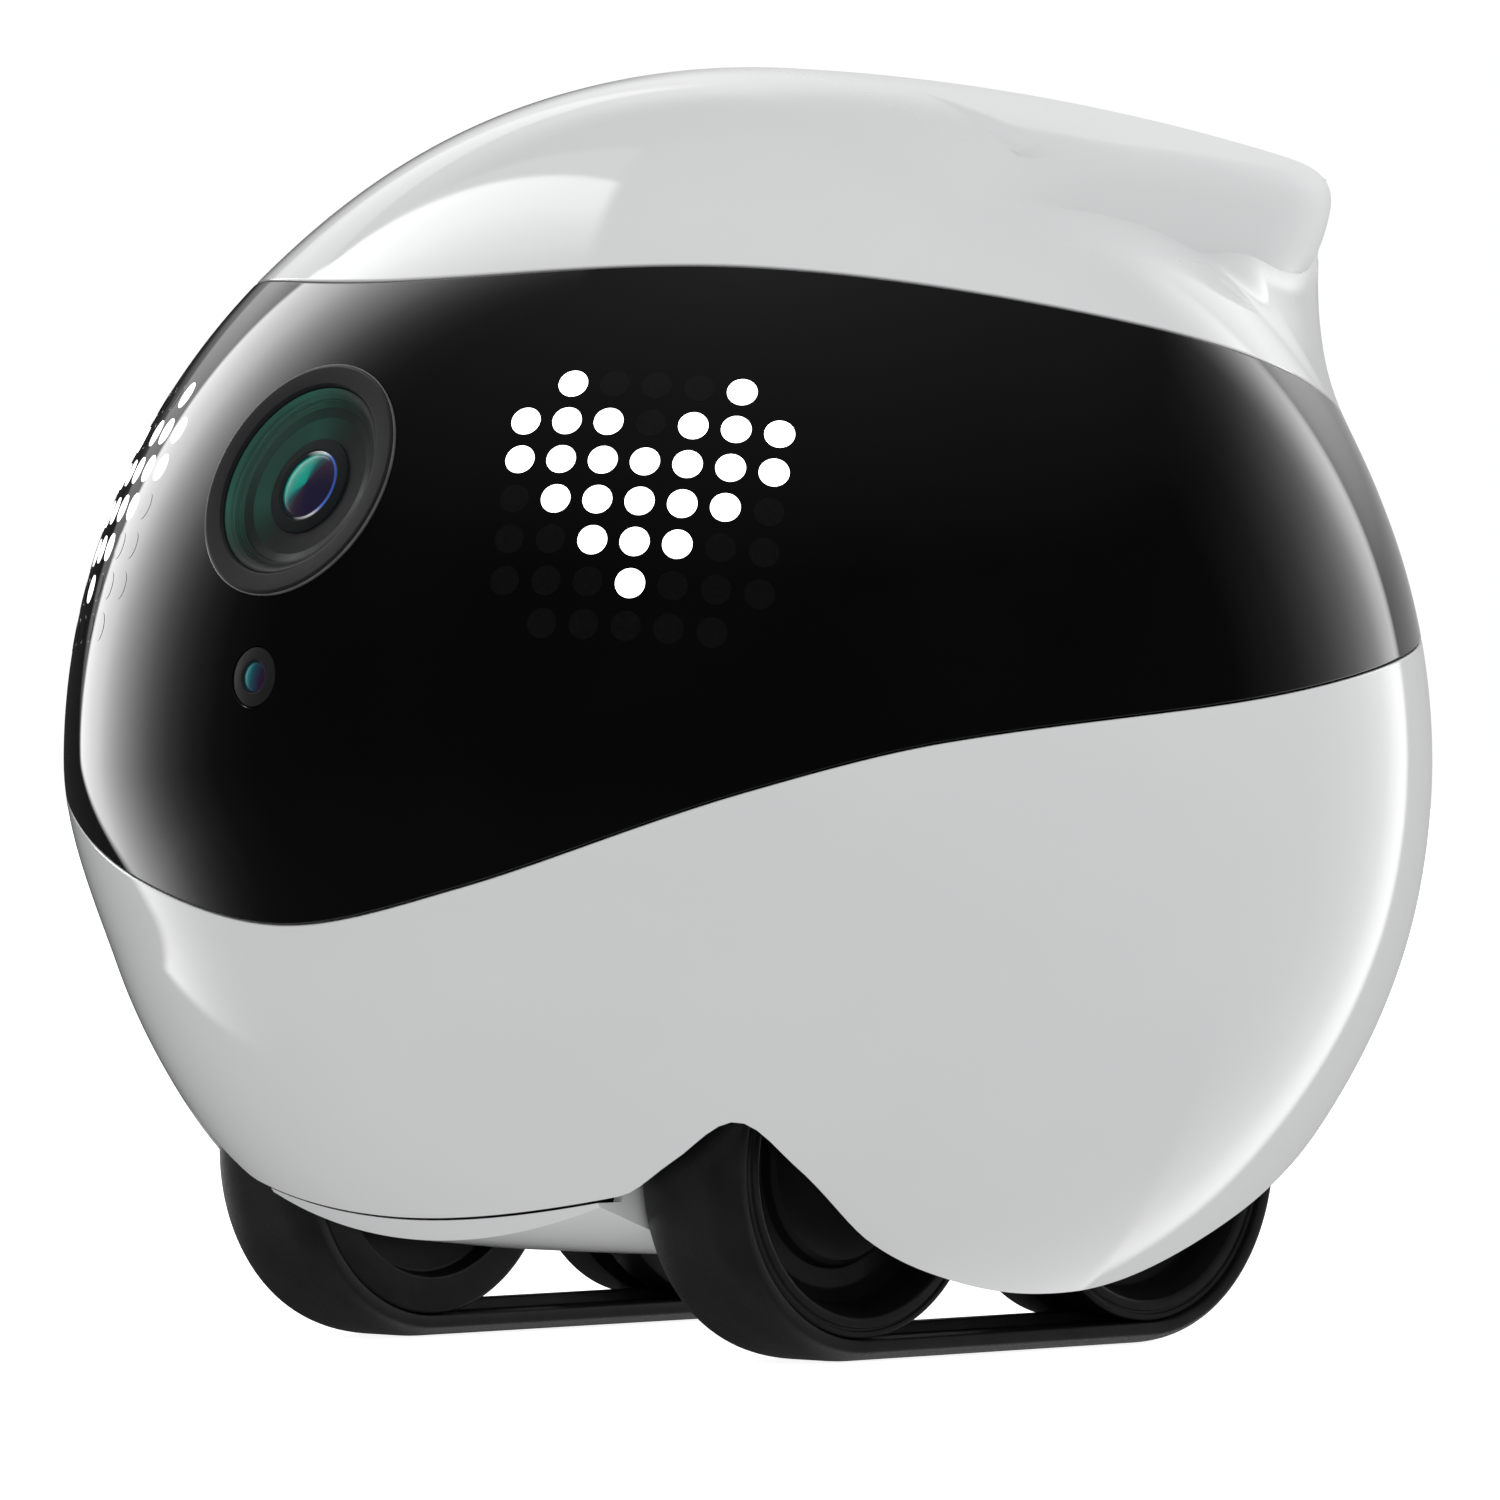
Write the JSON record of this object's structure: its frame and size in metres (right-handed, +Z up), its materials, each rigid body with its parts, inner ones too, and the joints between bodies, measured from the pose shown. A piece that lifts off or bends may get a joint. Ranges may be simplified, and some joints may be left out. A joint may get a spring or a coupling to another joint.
{
  "type": "tracked ball camera robot",
  "caption": "Ball-shaped camera robot with a dark wrap-round visor, dot-matrix eyes and a swept-back crest, driving on two rubber tracks.",
  "frame": {"origin": "on the floor under the middle of the ball", "axes": "+Z up, the robot looks along -Y, +X is the robot's own left side"},
  "size_m": [0.1, 0.1, 0.0929],
  "materials": {
    "shell_white": "polished moulded white plastic",
    "visor_black": "polished black plastic",
    "cover_white": "satin white plastic",
    "dark_plastic": "moulded dark plastic",
    "camera_trim": "satin black ring",
    "camera_glass": "coated cover glass with a green cast",
    "barrel_black": "matt black stepped barrel",
    "lens_coating": "coated lens with a blue and violet cast",
    "sensor_lens": "dark window with a blue cast",
    "eye_light": "white light",
    "board": "green circuit board",
    "steel": "plated steel",
    "motor_steel": "pressed steel can",
    "battery_wrap": "shrink-wrapped cell",
    "gold": "gold-plated contact",
    "antenna": "flexible circuit",
    "button_black": "satin black button",
    "bronze": "sintered bronze",
    "nylon": "natural nylon",
    "wheel_black": "satin black plastic",
    "belt_rubber": "smooth black rubber"
  },
  "bodies": {
    "root": {"top_shell": "shell_white", "visor": "visor_black", "lower_shell": "shell_white", "bottom_cover": "cover_white", "chassis": "dark_plastic", "camera_ring": "camera_trim", "camera_window": "camera_glass", "lens_barrel": "barrel_black", "front_lens_element": "lens_coating", "camera_holder": "dark_plastic", "camera_board": "board", "sensor_window": "sensor_lens", "sensor_module": "board", "left_eye_grid": "dark_plastic", "right_eye_grid": "dark_plastic", "left_eye_lights": "eye_light", "right_eye_lights": "eye_light", "left_eye_board": "board", "right_eye_board": "board", "main_board": "board", "shield_can": "steel", "board_screws": "steel", "battery": "battery_wrap", "speaker": "dark_plastic", "microphone": "gold", "antenna": "antenna", "usb_socket": "steel", "card_slot": "steel", "button_switch": "dark_plastic", "charging_contacts": "gold", "cover_screws": "steel", "gear_pins": "steel", "idle_axles": "steel", "axle_bushes": "bronze", "left_motor": "motor_steel", "right_motor": "motor_steel", "left_gear_plate": "steel", "right_gear_plate": "steel", "left_belt": "belt_rubber", "right_belt": "belt_rubber"},
    "power_button": {"power_button": "button_black"},
    "left_drive": {"left_output_gear": "nylon", "left_drive_axle": "steel", "left_drive_wheel": "wheel_black"},
    "left_idle": {"left_idle_wheel": "wheel_black"},
    "left_reduction": {"left_reduction_gear": "nylon"},
    "left_pinion": {"left_pinion": "bronze"},
    "right_drive": {"right_output_gear": "nylon", "right_drive_axle": "steel", "right_drive_wheel": "wheel_black"},
    "right_idle": {"right_idle_wheel": "wheel_black"},
    "right_reduction": {"right_reduction_gear": "nylon"},
    "right_pinion": {"right_pinion": "bronze"}
  },
  "joints": [
    {"name": "power_button_press", "type": "slide", "parent": "root", "child": "power_button", "axis": [0, -1, 0], "range_m": [0, 0.0004], "stiffness_N_per_m": 600},
    {"name": "left_drive_turn", "type": "hinge", "parent": "root", "child": "left_drive", "pos_m": [0.0217, 0.015, 0.0139], "axis": [1, 0, 0], "continuous": true},
    {"name": "left_idle_turn", "type": "hinge", "parent": "root", "child": "left_idle", "pos_m": [0.0217, -0.015, 0.0139], "axis": [1, 0, 0], "continuous": true},
    {"name": "left_reduction_turn", "type": "hinge", "parent": "root", "child": "left_reduction", "pos_m": [0.0115, 0.01259, 0.02052], "axis": [1, 0, 0], "continuous": true},
    {"name": "left_pinion_turn", "type": "hinge", "parent": "root", "child": "left_pinion", "pos_m": [0.01, 0.00796, 0.02888], "axis": [1, 0, 0], "continuous": true},
    {"name": "right_drive_turn", "type": "hinge", "parent": "root", "child": "right_drive", "pos_m": [-0.0217, -0.015, 0.0139], "axis": [1, 0, 0], "continuous": true},
    {"name": "right_idle_turn", "type": "hinge", "parent": "root", "child": "right_idle", "pos_m": [-0.0217, 0.015, 0.0139], "axis": [1, 0, 0], "continuous": true},
    {"name": "right_reduction_turn", "type": "hinge", "parent": "root", "child": "right_reduction", "pos_m": [-0.0115, -0.01259, 0.02052], "axis": [1, 0, 0], "continuous": true},
    {"name": "right_pinion_turn", "type": "hinge", "parent": "root", "child": "right_pinion", "pos_m": [-0.01, -0.00796, 0.02888], "axis": [1, 0, 0], "continuous": true}
  ],
  "couplings": [
    {"joint": "left_idle_turn", "follows": "left_drive_turn", "ratio": 1},
    {"joint": "left_reduction_turn", "follows": "left_drive_turn", "ratio": -1.8},
    {"joint": "left_pinion_turn", "follows": "left_drive_turn", "ratio": 5.04},
    {"joint": "right_idle_turn", "follows": "right_drive_turn", "ratio": 1},
    {"joint": "right_reduction_turn", "follows": "right_drive_turn", "ratio": -1.8},
    {"joint": "right_pinion_turn", "follows": "right_drive_turn", "ratio": 5.04}
  ]
}
